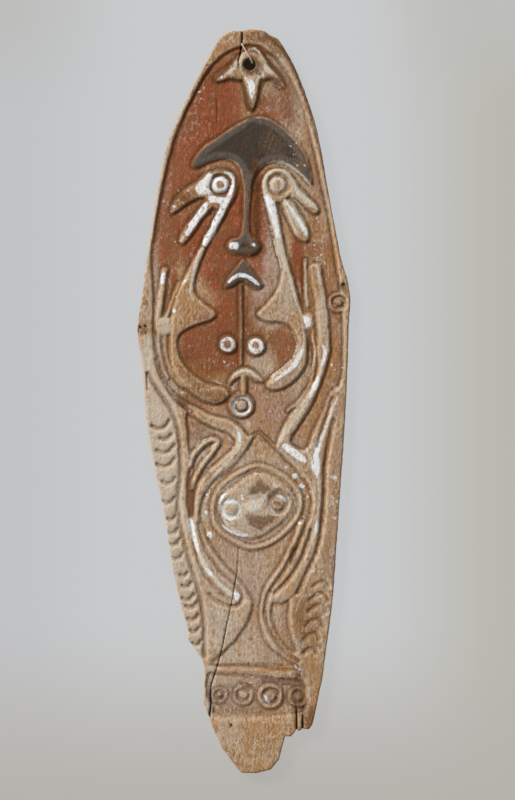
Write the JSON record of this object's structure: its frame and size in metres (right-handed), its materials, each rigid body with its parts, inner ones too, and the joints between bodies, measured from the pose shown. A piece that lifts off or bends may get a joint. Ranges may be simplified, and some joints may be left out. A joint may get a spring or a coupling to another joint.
{
  "type": "gope board",
  "caption": "Long carved wooden board with a pointed top, a stylised spirit face in low relief and a short hanging cord.",
  "frame": {"origin": "middle of the board's outline, on the surface that its back lies on", "axes": "+Z out of the carved side, +Y toward the pointed end with the hanging hole, +X to the right as the carving is seen"},
  "size_m": [0.3146, 1.0997, 0.022],
  "materials": {
    "carved_wood": "old matte wood with red ochre, black and white lime paint, worn",
    "cord_fibre": "matte off-white twisted fibre"
  },
  "bodies": {
    "root": {"board": "carved_wood", "hanging_cord": "cord_fibre"}
  },
  "joints": []
}
